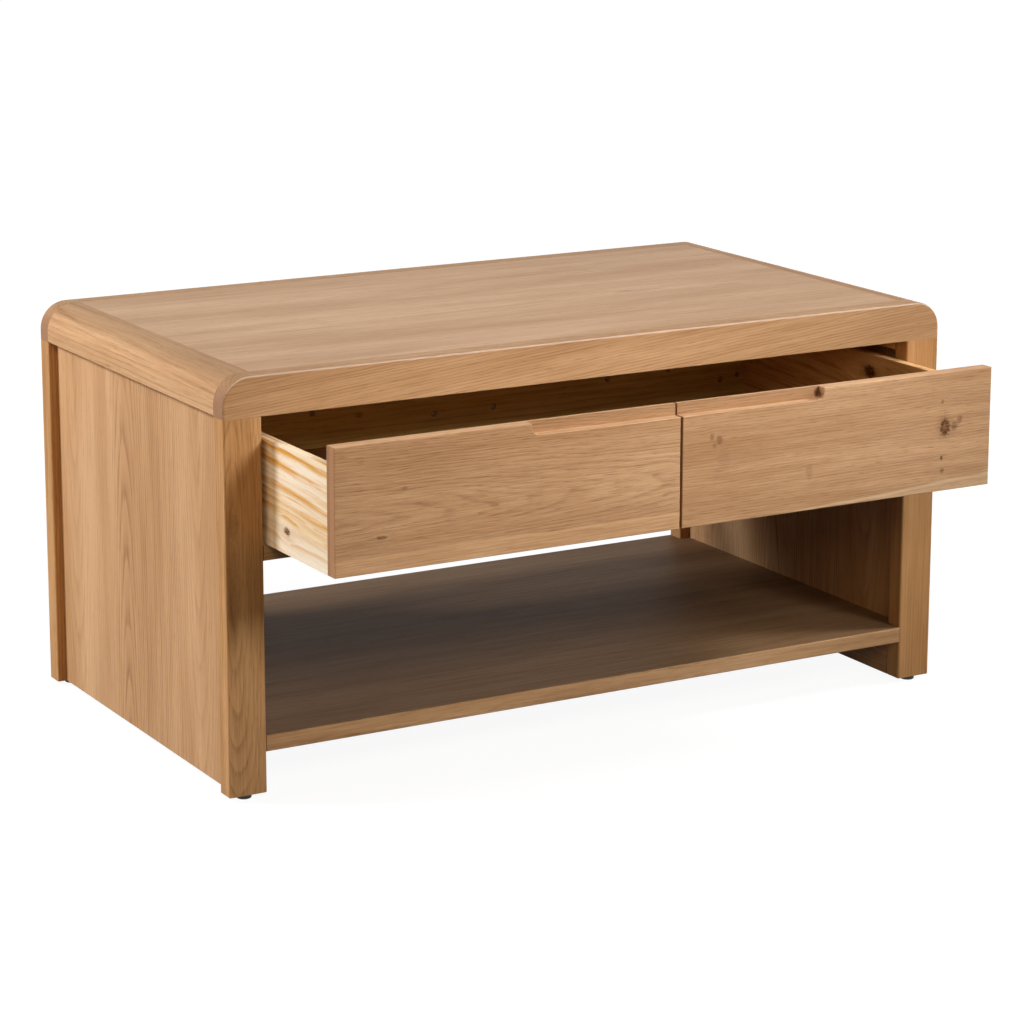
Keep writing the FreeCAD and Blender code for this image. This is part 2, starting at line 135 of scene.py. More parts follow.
# Shares, gains and powers of the woods
KNOT_RAGGEDNESS = 1.1
SPECK_SHARE = 0.55
EARLY_PORES = 0.6
PORE_HOLLOW = 0.6
END_SHARE = 0.78
LEAST_CLIMB = 0.5
WANDER_GAIN = 6.0
TINT_POWERS = (0.85, 1.1, 1.45)

# How dark a ring is from its start to its end, and how far its dark wood fades past the late share
RING_START = ((0.0, 0.8), (0.07, 1.0))
RING_LATE = 0.4
RING_FADED = 0.04
RING_END = ((0.9, 0.0), (1.0, 0.8))
FADE_GAIN = 2.4
FADE_LIMIT = 0.85

# Lengths in the woods, in metres, and the steps that each seed takes along the log and through the boards
SAP_RAGGEDNESS = 0.012
SAP_SOFTNESS = 0.0015
SAP_LINE_SPAN = (0.0006, 0.0028)
PULL_SOFTNESS = 0.001
PITH_SPREAD = 0.09
BOARD_REACH = 0.25
LOG_STEPS = (1.37, 0.73, 0.41)
BOARD_STEP = 3.7


class Graph:
    """The nodes of a material or a world, with short calls for the kinds that this file needs."""

    def __init__(self, owner: Union[bpy.types.Material, bpy.types.World]) -> None:
        """Starts with no nodes.

        Args:
            owner: The material or world that the nodes are for.
        """
        owner.use_nodes = True
        self.owner = owner
        self.tree = owner.node_tree
        self.tree.nodes.clear()

    def node(self, kind: str, inputs: Dict[Union[str, int], object], **settings: object) -> bpy.types.Node:
        """Adds a node.

        Args:
            kind: The node's type, without the word ShaderNode.
            inputs: What goes into each named or numbered socket: another socket or a constant.
            **settings: The node's own settings.

        Returns:
            The node.
        """
        made = self.tree.nodes.new("ShaderNode" + kind)
        for setting, value in settings.items():
            setattr(made, setting, value)
        for socket, value in inputs.items():
            if isinstance(value, bpy.types.NodeSocket):
                self.tree.links.new(value, made.inputs[socket])
            else:
                made.inputs[socket].default_value = value
        return made

    def math(self, operation: str, *values: Value) -> Socket:
        """One sum on numbers, such as ADD or SQRT."""
        return self.node("Math", dict(enumerate(values)), operation=operation).outputs[0]

    def vector(self, operation: str, *values: Union[Socket, Place]) -> Socket:
        """One sum on vectors or colours, such as ADD or MULTIPLY."""
        return self.node("VectorMath", dict(enumerate(values)), operation=operation).outputs[0]

    def total(self, values: Sequence[Value]) -> Value:
        """Adds values together.

        Args:
            values: The values, at least one.

        Returns:
            Their sum.
        """
        result = values[0]
        for value in values[1:]:
            result = self.math("ADD", result, value)
        return result

    def distance(self, first: Value, second: Value) -> Socket:
        """How far a spot is from a line, from its two distances at right angles."""
        square = self.math("MULTIPLY_ADD", first, first, self.math("MULTIPLY", second, second))
        return self.math("SQRT", square)

    def swing(self, value: Value, reach: float) -> Socket:
        """A value from 0 to 1 turned into a swing about 0 over a reach."""
        return self.math("MULTIPLY", self.math("SUBTRACT", value, 0.5), reach)

    def coordinates(self, kind: str) -> Socket:
        """A spot's own coordinates, such as Object or Normal."""
        return self.node("TexCoord", {}).outputs[kind]

    def parts(self, vector: Socket) -> Sequence[Socket]:
        """A vector's three numbers."""
        return self.node("SeparateXYZ", {0: vector}).outputs

    def joined(self, parts: Sequence[Value]) -> Socket:
        """Three numbers as a vector."""
        return self.node("CombineXYZ", dict(enumerate(parts))).outputs[0]

    def noise(self, point: Socket, pattern: Noise) -> Socket:
        """Noise at a point.

        Args:
            point: The point, with the grain along its X.
            pattern: The kind of noise.

        Returns:
            The noise, from 0 to 1.
        """
        cells = self.vector("MULTIPLY", point, (pattern.along, pattern.across, pattern.across))
        moved = self.vector("ADD", cells, pattern.start)
        inputs = {"Vector": moved, "Scale": 1.0, "Detail": pattern.detail, "Roughness": pattern.roughness}
        return self.node("TexNoise", inputs).outputs[0]

    def step(self, value: Value, span: Span, low: float = 0.0, high: float = 1.0) -> Socket:
        """A smooth step.

        Args:
            value: What is measured.
            span: Where the step starts and ends.
            low: The result up to the start.
            high: The result from the end on.

        Returns:
            The step's socket.
        """
        inputs = {0: value, 1: span[0], 2: span[1], 3: low, 4: high}
        return self.node("MapRange", inputs, interpolation_type="SMOOTHSTEP").outputs[0]

    def ramp(self, value: Value, stops: Sequence[Span]) -> Socket:
        """A curve from 0 to 1 through a few stops.

        Args:
            value: Where on the curve.
            stops: Pairs of place and height.

        Returns:
            The height's socket.
        """
        made = self.node("ValToRGB", {0: value})
        elements = made.color_ramp.elements
        while len(elements) < len(stops):
            elements.new(1.0)
        for element, (place, height) in zip(elements, stops):
            element.position = place
            element.color = (height, height, height, 1.0)
        return made.outputs[0]

    def mix(self, share: Value, first: Union[Socket, Colour], second: Union[Socket, Colour]) -> Socket:
        """Two colours mixed.

        Args:
            share: How much of the second, held between 0 and 1.
            first: The first colour.
            second: The second colour.

        Returns:
            The mixed colour's socket.
        """
        paints = [c if isinstance(c, bpy.types.NodeSocket) else (*c, 1.0) for c in (first, second)]
        return self.node("Mix", {0: share, 6: paints[0], 7: paints[1]}, data_type="RGBA").outputs[2]

    def brighten(self, colour: Socket, factor: Socket) -> Socket:
        """A colour times a number."""
        return self.node("VectorMath", {0: colour, "Scale": factor}, operation="SCALE").outputs[0]

    def tint(self, colour: Socket, factor: Socket) -> Socket:
        """A colour times a number, warmer where that darkens it and paler where it lightens it."""
        factors = self.joined([self.math("POWER", factor, power) for power in TINT_POWERS])
        return self.vector("MULTIPLY", colour, factors)

    def bump(self, height: Socket, strength: float, depth: float) -> Socket:
        """The way that a surface faces where a height makes it uneven."""
        return self.node("Bump", {"Strength": strength, "Distance": depth, "Height": height}).outputs[0]

    def seen(self) -> Socket:
        """Tells what is looked at from what only gives light.

        Returns:
            1 where a surface is seen straight, in a reflection or through glass, and 0 elsewhere.
        """
        path = self.node("LightPath", {}).outputs
        straight = self.math("MAXIMUM", path["Is Camera Ray"], path["Is Glossy Ray"])
        return self.math("MAXIMUM", straight, path["Is Transmission Ray"])

    def finish(self, inputs: Dict[str, object]) -> bpy.types.Material:
        """Closes the material with its surface shader.

        Args:
            inputs: What goes into the shader's sockets.

        Returns:
            The material.
        """
        shader = self.node("BsdfPrincipled", inputs)
        self.node("OutputMaterial", {"Surface": shader.outputs[0]})
        return self.owner


@dataclass(frozen=True)
class Knot:
    """A knot or a dark fleck in a face, placed from the middle of its piece, in metres.

    A negative depth makes the middle of a larger knot paler.
    """

    along: float
    across: float
    length: float
    width: float
    depth: float = 1.0
    push: float = 0.0015


@dataclass(frozen=True)
class Recess:
    """A finger pull: where its wall and ledge lie, in metres from the middle of the piece, and factors on
    the colour there: painted shade on the wall and a painted highlight on the ledge.
    """

    wall_depth: float
    ledge_height: float
    wall: float
    ledge: float


@dataclass(frozen=True)
class Sapwood:
    """A paler band below a border that runs along the grain, in metres from the middle of the piece."""

    border: float
    slope: float = 0.0
    share: float = 0.4
    edge: float = 0.0
    lift: Colour = (1.2, 1.2, 1.2)


class Spot(NamedTuple):
    """A spot on a piece: along the grain, across it and into the face from the middle, and in the log."""

    along: Socket
    across: Socket
    depth: Socket
    point: Socket


class BoardSpot(NamedTuple):
    """The board that a spot is on: its pith line, how strong and steep its rings are, and three dice."""

    line: Value
    strength: Value
    climb: Value
    dice: Sequence[Value]


WHOLE_BOARD = BoardSpot(0.0, 1.0, 1.0, (0.5, 0.5, 0.5))


@dataclass(frozen=True)
class WoodTones:
    """The colours of a kind of wood."""

    pale: Colour
    mid: Colour
    line: Colour
    pore: Colour
    end: Colour
    knot: Colour


OAK = WoodTones(
    pale=srgb(209, 166, 123),
    mid=srgb(193, 148, 105),
    line=srgb(150, 104, 66),
    pore=srgb(122, 80, 46),
    end=srgb(166, 121, 88),
    knot=srgb(80, 46, 24),
)
RAIL_OAK = replace(OAK, end=srgb(148, 110, 84))
FACE_OAK = replace(OAK, pale=srgb(211, 168, 127), mid=srgb(194, 150, 109), knot=srgb(96, 54, 28))
# A pale colour mixed in over rounded edges as a painted highlight.
PAINTED_EDGE_HIGHLIGHT = srgb(214, 194, 178)
# Oak for the top panel: darker than OAK as painted shade over the top and greyer as a painted sheen; its
# knot colour is the top's own dark flecks.
TOP_OAK_WITH_PAINTED_SHADE = WoodTones(
    pale=srgb(188, 151, 116),
    mid=srgb(173, 135, 99),
    line=srgb(140, 101, 68),
    pore=srgb(116, 80, 50),
    end=srgb(142, 102, 70),
    knot=srgb(122, 80, 54),
)
LEG_OAK = WoodTones(
    pale=srgb(205, 157, 108),
    mid=srgb(187, 139, 90),
    line=srgb(138, 92, 52),
    pore=srgb(116, 74, 40),
    end=srgb(150, 104, 66),
    knot=srgb(80, 46, 24),
)
GOLD_OAK = replace(LEG_OAK, pale=srgb(206, 155, 103), mid=srgb(188, 137, 85))
PINE = WoodTones(
    pale=srgb(252, 239, 220),
    mid=srgb(247, 221, 180),
    line=srgb(229, 167, 76),
    pore=srgb(206, 146, 70),
    end=srgb(206, 164, 104),
    knot=srgb(104, 66, 34),
)
# Pine darkened and warmed as painted shade, for the drawer's inner right side and the kickers inside the
# table.
PINE_WITH_PAINTED_SHADE = WoodTones(
    pale=srgb(234, 194, 146),
    mid=srgb(222, 180, 126),
    line=srgb(188, 132, 66),
    pore=srgb(160, 104, 46),
    end=srgb(186, 138, 78),
    knot=srgb(86, 42, 14),
)
# Pine darkened as painted shade for the boards inside the drawer.
BOX_PINE_WITH_PAINTED_SHADE = WoodTones(
    pale=srgb(213, 183, 118),
    mid=srgb(201, 167, 101),
    line=srgb(166, 118, 58),
    pore=srgb(150, 98, 44),
    end=srgb(176, 130, 74),
    knot=srgb(76, 42, 18),
)
# A plywood tone, darkened as painted shade for the inside of the drawer.
PLY_WITH_PAINTED_SHADE = WoodTones(
    pale=srgb(176, 128, 78),
    mid=srgb(162, 114, 66),
    line=srgb(132, 88, 46),
    pore=srgb(116, 74, 36),
    end=srgb(140, 96, 54),
    knot=srgb(60, 36, 18),
)
BEECH = WoodTones(
    pale=srgb(226, 188, 148),
    mid=srgb(214, 172, 130),
    line=srgb(194, 150, 108),
    pore=srgb(170, 124, 86),
    end=srgb(186, 142, 104),
    knot=srgb(90, 56, 34),
)


@dataclass(frozen=True)
class WoodFinish:
    """Solid wood with growth rings, fibres, pores, glued boards and knots, in metres.

    The rings run round a pith line that lies below the face, so a face that crosses them shows arches
    and an end shows arcs.
    """

    tones: WoodTones
    cut: Cut
    ring: float = 0.0044
    pith_across: float = 0.24
    pith_depth: float = 0.08
    rise: float = 0.02
    bow: float = 0.0
    bow_place: float = 0.0
    slant: float = 0.0
    wander: float = 0.0016
    line_share: float = 0.26
    late_share: float = 0.26
    pore_share: float = 0.4
    streak_share: float = 0.4
    figure_share: float = 0.16
    tone_share: float = 0.12
    board_share: float = 0.08
    uneven: float = 0.5
    shiver: float = 1.4
    streak_run: float = 0.077
    streak_width: float = 0.0021
    streak_detail: float = 4.0
    streak_roughness: float = 0.62
    shade: float = 1.0
    # Painted light on faces that look up: a painted shade below 1 and a painted highlight above 1.
    crown: float = 1.0
    # How much painted highlight goes on rounded edges between a front and a top.
    painted_arris_highlight: float = 0.0
    roughness: float = 0.5
    pore_roughness: float = 0.1
    gloss: float = 0.08
    bump: float = 0.25
    bump_depth: float = 0.0004
    glue_lines: Tuple[float, ...] = ()
    board_piths: Tuple[float, ...] = ()
    board_lines: Tuple[float, ...] = ()
    board_climbs: Tuple[float, ...] = ()
    knots: Tuple[Knot, ...] = ()
    sapwood: Optional[Sapwood] = None
    # Painted shade on a finger pull's wall and a painted highlight on its ledge.
    recess: Optional[Recess] = None

    def material(self, name: str, piece: Solid, seed: int) -> bpy.types.Material:
        """Makes the wood for one piece.

        Args:
            name: The material's name.
            piece: The piece it is for, whose middle is where the pattern is centred.
            seed: Picks the stretch of the log.

        Returns:
            The material.
        """
        graph = Graph(bpy.data.materials.new(name))
        spot = self._spot(graph, piece, seed)
        board = self._board(graph, spot, seed)
        dark, push = self._knots(graph, spot)
        rings = self._rings(graph, spot, board, push)
        colour, height = self._paint(graph, spot, board, rings)
        colour = graph.mix(dark, self._faced(graph, colour), self.tones.knot)
        if self.recess is not None:
            colour = self._pull(graph, spot, colour)
        return graph.finish({
            "Base Color": colour,
            "Roughness": graph.step(height, FULL_SPAN, self.roughness + self.pore_roughness, self.roughness),
            "Specular IOR Level": self.gloss,
            "Normal": graph.bump(height, self.bump, self.bump_depth),
        })

    def _spot(self, graph: Graph, piece: Solid, seed: int) -> Spot:
        """Measures where a spot is.

        Args:
            graph: The material's nodes.
            piece: The piece that it is on.
            seed: Picks the stretch of the log.

        Returns:
            The spot.
        """
        low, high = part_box(piece.name)
        middle = (Vector(low) + Vector(high)) / 2
        parts = graph.parts(graph.vector("SUBTRACT", graph.coordinates("Object"), tuple(middle)))
        along, across, depth = [parts["XYZ".index(letter)] for letter in self.cut.value]
        leaning = graph.math("MULTIPLY_ADD", along, self.slant, across)
        shift = tuple(step * seed for step in LOG_STEPS)
        point = graph.vector("ADD", graph.joined([along, leaning, depth]), shift)
        return Spot(along, leaning, depth, point)

    def _board(self, graph: Graph, spot: Spot, seed: int) -> BoardSpot:
        """Finds the glued board that a spot is on.

        Args:
            graph: The material's nodes.
            spot: The spot.
            seed: Picks the boards.

        Returns:
            The board.
        """
        if not self.glue_lines:
            return WHOLE_BOARD
        edges = (-BOARD_REACH, *self.glue_lines, BOARD_REACH)
        offsets = self.board_piths or (0.0,) * (len(edges) - 1)
        piths = [(a + b) / 2 + offset for a, b, offset in zip(edges, edges[1:], offsets)]
        past = [graph.math("GREATER_THAN", spot.across, edge) for edge in self.glue_lines]

        def chosen(values: Sequence[float]) -> Value:
            """The value of the board that the spot is on."""
            moved = [graph.math("MULTIPLY", p, b - a) for p, a, b in zip(past, values, values[1:])]
            return graph.math("ADD", graph.total(moved), values[0])

        count = graph.math("ADD", graph.total(past), BOARD_STEP * seed)
        dice = graph.parts(graph.node("TexWhiteNoise", {"W": count}, noise_dimensions="1D").outputs["Color"])
        strength = chosen(self.board_lines) if self.board_lines else 1.0
        climb = chosen(self.board_climbs) if self.board_climbs else graph.math("ADD", dice[1], LEAST_CLIMB)
        return BoardSpot(chosen(piths), strength, climb, dice)

    def _knots(self, graph: Graph, spot: Spot) -> Tuple[Value, Value]:
        """Works out what the knots do to a spot.

        Args:
            graph: The material's nodes.
            spot: The spot.

        Returns:
            How dark they make it, and how far they push its rings aside.
        """
        if not self.knots:
            return 0.0, 0.0
        ragged = graph.noise(spot.point, KNOT_RIMS)
        cores: List[Value] = []
        pushes: List[Value] = []
        for knot in self.knots:
            run = graph.math("MULTIPLY", graph.math("SUBTRACT", spot.along, knot.along), 1 / knot.length)
            side = graph.math("MULTIPLY", graph.math("SUBTRACT", spot.across, knot.across), 1 / knot.width)
            far = graph.math("MULTIPLY_ADD", ragged, KNOT_RAGGEDNESS, graph.distance(side, run))
            cores.append(graph.step(far, KNOT_SPAN, knot.depth, 0.0))
            pushes.append(graph.math("MULTIPLY", side, graph.step(far, PUSH_SPAN, -knot.push, 0.0)))
        specks = graph.step(graph.noise(spot.point, KNOT_SPECKS), SPECK_SPAN, SPECK_SHARE, 1.0)
        return graph.math("MULTIPLY", graph.total(cores), specks), graph.total(pushes)

    def _rings(self, graph: Graph, spot: Spot, board: BoardSpot, push: Value) -> Socket:
        """Works out where in a growth ring a spot is.

        Args:
            graph: The material's nodes.
            spot: The spot.
            board: The board that it is on.
            push: How far knots push the rings aside.

        Returns:
            How far into the ring's dark early wood it is, from 0 to 1.
        """
        wander = graph.swing(graph.noise(spot.point, SLOW_BENDS), WANDER_GAIN * self.wander)
        shiver = graph.swing(graph.noise(spot.point, QUICK_BENDS), self.shiver * self.ring)
        spread = graph.swing(board.dice[0], 0.0 if self.board_piths else PITH_SPREAD)
        pith = graph.math("ADD", board.line, self.pith_across)
        side = graph.total([graph.math("SUBTRACT", spot.across, pith), spread, wander, push])
        climb = graph.math("MULTIPLY", spot.along, graph.math("MULTIPLY", board.climb, self.rise))
        off = graph.math("SUBTRACT", spot.along, self.bow_place)
        bow = graph.math("MULTIPLY", graph.math("MULTIPLY", off, off), self.bow)
        under = graph.total([spot.depth, self.pith_depth, climb, bow])
        radius = graph.total([graph.distance(side, under), wander, shiver])
        phase = graph.math("FRACT", graph.math("MULTIPLY", radius, 1 / self.ring))
        faded = min(FADE_LIMIT, FADE_GAIN * self.late_share)
        stops = (*RING_START, (self.late_share, RING_LATE), (faded, RING_FADED), *RING_END)
        return graph.math("MULTIPLY", graph.ramp(phase, stops), board.strength)

    def _paint(self, graph: Graph, spot: Spot, board: BoardSpot, rings: Socket) -> Tuple[Socket, Socket]:
        """Paints the clear wood between the knots.

        Args:
            graph: The material's nodes.
            spot: The spot.
            board: The board that it is on.
            rings: How far into a ring's dark wood it is.

        Returns:
            The colour, and the height for the bump.
        """
        fibres = Noise(
            1 / self.streak_run, 1 / self.streak_width,
            detail=self.streak_detail, roughness=self.streak_roughness,
        )
        streak = graph.noise(spot.point, fibres)
        figure = graph.noise(spot.point, FIGURE)
        broad = graph.noise(spot.point, BROAD_TONES)
        colour = graph.mix(graph.step(broad, BROAD_SPAN), self.tones.pale, self.tones.mid)
        strong, weak = self.line_share * (1 + self.uneven), self.line_share * (1 - self.uneven)
        lines = graph.math("MULTIPLY", rings, graph.step(figure, FIGURE_SPAN, strong, weak))
        colour = graph.mix(lines, colour, self.tones.line)
        early = graph.math("MULTIPLY_ADD", rings, EARLY_PORES, 1 - EARLY_PORES)
        pores = graph.math("MULTIPLY", graph.step(graph.noise(spot.point, PORE_DASHES), PORE_SPAN), early)
        colour = graph.mix(graph.math("MULTIPLY", pores, self.pore_share), colour, self.tones.pore)
        if self.sapwood is not None:
            colour = self._sap(graph, spot, colour)
        shades = [
            1.0,
            graph.swing(streak, 2.0 * self.streak_share),
            graph.swing(figure, 2.0 * self.figure_share),
            graph.swing(broad, -2.0 * self.tone_share),
            graph.swing(board.dice[2], self.board_share),
        ]
        height = graph.math("SUBTRACT", streak, graph.math("MULTIPLY", pores, PORE_HOLLOW))
        return graph.tint(colour, graph.total(shades)), height

    def _sap(self, graph: Graph, spot: Spot, colour: Socket) -> Socket:
        """Paints the band of sapwood and the pale line along its border.

        Args:
            graph: The material's nodes.
            spot: The spot.
            colour: The colour without the band.

        Returns:
            The colour with it.
        """
        sap = self.sapwood
        above = graph.math("MULTIPLY_ADD", spot.along, -sap.slope, spot.across)
        torn = graph.math("MULTIPLY_ADD", graph.noise(spot.point, SAP_BORDER), SAP_RAGGEDNESS, above)
        border = sap.border + SAP_RAGGEDNESS / 2
        inside = graph.step(torn, (border - SAP_SOFTNESS, border + SAP_SOFTNESS), sap.share, 0.0)
        away = graph.math("ABSOLUTE", graph.math("SUBTRACT", torn, border))
        line = graph.step(away, SAP_LINE_SPAN, sap.edge, 0.0)
        pale = tuple(min(1.0, lift * part) for lift, part in zip(sap.lift, self.tones.pale))
        return graph.mix(graph.math("MAXIMUM", inside, line), colour, pale)

    def _faced(self, graph: Graph, colour: Socket) -> Socket:
        """Changes the colour by the way that the surface faces: painted shade or highlight where it looks
        up, a painted highlight over a rounded edge, and the end tone along the grain.

        Args:
            graph: The material's nodes.
            colour: The colour on an upright face.

        Returns:
            The colour on this one.
        """
        normal = graph.parts(graph.coordinates("Normal"))
        # Painted light: faces that look up are scaled by crown, a painted shade below 1 and a painted
        # highlight above 1.
        crown = graph.step(normal[2], TOP_PAINTED_LIGHT_SPAN, self.shade, self.shade * self.crown)
        crowned = graph.brighten(colour, crown)
        # Painted highlight: where the surface turns between front and top, it is mixed toward a pale colour.
        slope = graph.math("ABSOLUTE", graph.math("MULTIPLY", normal[1], normal[2]))
        highlighted_edge = graph.mix(graph.step(slope, EDGE_HIGHLIGHT_SPAN, 0.0, self.painted_arris_highlight), crowned, PAINTED_EDGE_HIGHLIGHT)
        facing = graph.math("ABSOLUTE", normal["XYZ".index(self.cut.value[0])])
        return graph.mix(graph.step(facing, END_SPAN, 0.0, END_SHARE), highlighted_edge, self.tones.end)

    def _pull(self, graph: Graph, spot: Spot, colour: Socket) -> Socket:
        """Paints shade on the finger pull's wall and a highlight on its ledge.

        Args:
            graph: The material's nodes.
            spot: The spot.
            colour: The colour of the face.

        Returns:
            The colour with the painted shade and highlight.
        """
        pull, soft = self.recess, PULL_SOFTNESS
        normal = graph.parts(graph.coordinates("Normal"))
        upright = graph.step(normal[2], UPRIGHT_SPAN, 1.0, 0.0)
        deep = graph.step(spot.depth, (pull.wall_depth - 2 * soft, pull.wall_depth - soft))
        low = graph.step(spot.across, (pull.ledge_height + soft, pull.ledge_height + 2 * soft), 1.0, 0.0)
        wall = graph.math("MULTIPLY", upright, deep)
        ledge = graph.math("MULTIPLY", graph.math("SUBTRACT", 1.0, upright), low)
        # Painted shade on the wall, then a painted highlight on the ledge.
        shaded = graph.brighten(colour, graph.step(wall, FULL_SPAN, 1.0, pull.wall))
        return graph.tint(shaded, graph.step(ledge, FULL_SPAN, 1.0, pull.ledge))


@dataclass(frozen=True)
class PlainFinish:
    """A plain plastic or metal surface with a little unevenness."""

    colour: Colour
    roughness: float
    metallic: float = 0.0
    unevenness: float = 0.08
    grain_size: float = 0.004
    bump: float = 0.1
    bump_depth: float = 0.0002

    def material(self, name: str) -> bpy.types.Material:
        """Makes the material.

        Args:
            name: The material's name.

        Returns:
            The material.
        """
        graph = Graph(bpy.data.materials.new(name))
        cloud = graph.noise(graph.coordinates("Object"), Noise(1 / self.grain_size, 1 / self.grain_size))
        smooth, rough = self.roughness - self.unevenness, self.roughness + self.unevenness
        return graph.finish({
            "Base Color": (*self.colour, 1.0),
            "Metallic": self.metallic,
            "Roughness": graph.step(cloud, CLOUD_SPAN, smooth, rough),
            "Normal": graph.bump(cloud, self.bump, self.bump_depth),
        })


def dress(piece: Solid, material: bpy.types.Material) -> None:
    """Gives a piece one material.

    Args:
        piece: The piece.
        material: Its new material.
    """
    piece.data.materials.clear()
    piece.data.materials.append(material)
    LOG.info("%s is dressed in %s", piece.name, material.name)


class WoodWork:
    """What the wooden sub-assemblies share: dressing their pieces in their finishes."""

    def dress_wood(self, name: str, finish: WoodFinish, seed: int) -> None:
        """Dresses one CAD piece in wood.

        Args:
            name: The piece's name.
            finish: Its wood.
            seed: Picks the stretch of the log.
        """
        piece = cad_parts[name]
        dress(piece, finish.material(name + "_wood", piece, seed))

    def dress_pair(self, sides: Sequence[str], name: str, finish: WoodFinish, seed: int) -> None:
        """Dresses two like pieces in wood.

        Args:
            sides: The first words of their names.
            name: The rest of their names.
            finish: Their wood.
            seed: The first one's seed. The other has the next.
        """
        for turn, side in enumerate(sides):
            self.dress_wood(side + "_" + name, finish, seed + turn)


@dataclass
class TopFrame(WoodWork):
    """The top panel and the rounded rails round it."""

    panel_glue_lines: Tuple[float, ...] = (-0.148, -0.036, 0.072, 0.171)
    top_gloss: float = 0.12
    top_roughness: float = 0.42
    # Painted shade on the tops of the long rails.
    crown: float = 0.78
    # Painted highlight along the long rails' rounded edges.
    painted_arris_highlight: float = 0.6
    long_ring: float = 0.0036
    end_ring: float = 0.0062
    # Painted shade on the tops of the end rails.
    end_top_painted_shade: float = 0.73
    end_shade: float = 0.96
    rail_shade: float = 0.91
    rail_slant: float = -0.09
    flecks: Tuple[Knot, ...] = (
        Knot(0.21, -0.026, 0.05, 0.005, 0.5),
        Knot(0.186, -0.02, 0.02, 0.004, 0.5),
        Knot(0.33, -0.043, 0.03, 0.004, 0.45),
        Knot(0.05, -0.031, 0.04, 0.004, 0.4),
        Knot(0.0, -0.038, 0.08, 0.005, 0.3),
        Knot(-0.1, -0.043, 0.1, 0.005, 0.25),
        Knot(-0.28, -0.055, 0.08, 0.005, 0.3),
        Knot(0.204, 0.17, 0.04, 0.005, 0.3),
    )

    def dress_all(self) -> None:
        """Dresses the panel, rails and cleats."""
        panel = WoodFinish(
            TOP_OAK_WITH_PAINTED_SHADE, Cut.FLAT_LENGTHWISE, ring=0.009, line_share=0.14, streak_share=0.32, figure_share=0.12,
            streak_run=0.06, streak_width=0.0016, tone_share=0.09, board_share=0.05, gloss=self.top_gloss,
            roughness=self.top_roughness, glue_lines=self.panel_glue_lines, knots=self.flecks,
        )
        self.dress_wood("top_panel", panel, 3)
        long_rail = WoodFinish(
            RAIL_OAK, Cut.FRONT_LENGTHWISE, ring=self.long_ring, slant=self.rail_slant, line_share=0.36,
            streak_width=0.0014, wander=0.0024, shade=self.rail_shade, crown=self.crown,
            painted_arris_highlight=self.painted_arris_highlight, gloss=self.top_gloss,
        )
        self.dress_wood("front_top_rail", long_rail, 5)
        self.dress_wood("back_top_rail", long_rail, 8)
        end_rail = WoodFinish(
            RAIL_OAK, Cut.SIDE_CROSSWISE, ring=self.end_ring, line_share=0.28, streak_share=0.3,
            shade=self.end_shade, crown=self.end_top_painted_shade, gloss=self.top_gloss,
        )
        self.dress_wood("left_end_rail", end_rail, 11)
        self.dress_wood("right_end_rail", end_rail, 14)
        self.dress_pair(ENDS, "top_cleat", WoodFinish(PINE, Cut.FRONT_LENGTHWISE), 17)


@dataclass
class Stand(WoodWork):
    """The legs, the end panels and the shelf."""

    panel_glue_lines: Tuple[float, ...] = (-0.12, 0.079)
    panel_piths: Tuple[float, ...] = (0.012, 0.0625, 0.0355)
    panel_lines: Tuple[float, ...] = (0.55, 1.15, 0.5)
    panel_climbs: Tuple[float, ...] = (-1.0, 1.0, -1.0)
    leg_heart: Tuple[Knot, ...] = (
        Knot(0.1, -0.014, 0.022, 0.008, 0.3),
        Knot(0.02, -0.015, 0.09, 0.008, 0.22),
    )
    shelf_glue_lines: Tuple[float, ...] = (-0.16, -0.03, 0.11)
    shelf_gloss: float = 0.07
    # Painted shade over the shelf's top, which leaves its front edge bright.
    shelf_top_painted_shade: float = 0.42
    left_gloss: float = 0.12
    right_gloss: float = 0.03

    def dress_all(self) -> None:
        """Dresses the legs, panels, shelf and shelf rails."""
        arched = WoodFinish(
            LEG_OAK, Cut.FRONT_UPRIGHT, ring=0.0045, pith_across=-0.014, pith_depth=0.016, rise=0.0,
            bow=0.34, bow_place=0.05, wander=0.0022, line_share=0.29, shiver=1.1, knots=self.leg_heart,
        )
        straight = WoodFinish(LEG_OAK, Cut.FRONT_UPRIGHT)
        calm = replace(straight, tones=GOLD_OAK, streak_share=0.2, line_share=0.14, pore_share=0.25)
        self.dress_wood("front_left_leg", arched, 21)
        self.dress_wood("back_right_leg", arched, 22)
        self.dress_wood("front_right_leg", calm, 23)
        self.dress_wood("back_left_leg", straight, 24)
        panel = WoodFinish(
            OAK, Cut.SIDE_UPRIGHT, ring=0.005, pith_across=0.0, pith_depth=0.045, rise=0.07, line_share=0.42,
            shiver=0.7, streak_share=0.18, figure_share=0.08, wander=0.0013,
            glue_lines=self.panel_glue_lines, board_piths=self.panel_piths,
            board_lines=self.panel_lines, board_climbs=self.panel_climbs,
        )
        self.dress_wood("left_side_panel", replace(panel, gloss=self.left_gloss), 31)
        self.dress_wood("right_side_panel", replace(panel, gloss=self.right_gloss), 34)
        shelf = WoodFinish(
            OAK, Cut.FLAT_LENGTHWISE, glue_lines=self.shelf_glue_lines, gloss=self.shelf_gloss,
            crown=self.shelf_top_painted_shade,
        )
        self.dress_wood("shelf", shelf, 37)
        self.dress_pair(SIDES, "shelf_rail", WoodFinish(OAK, Cut.SIDE_CROSSWISE), 38)


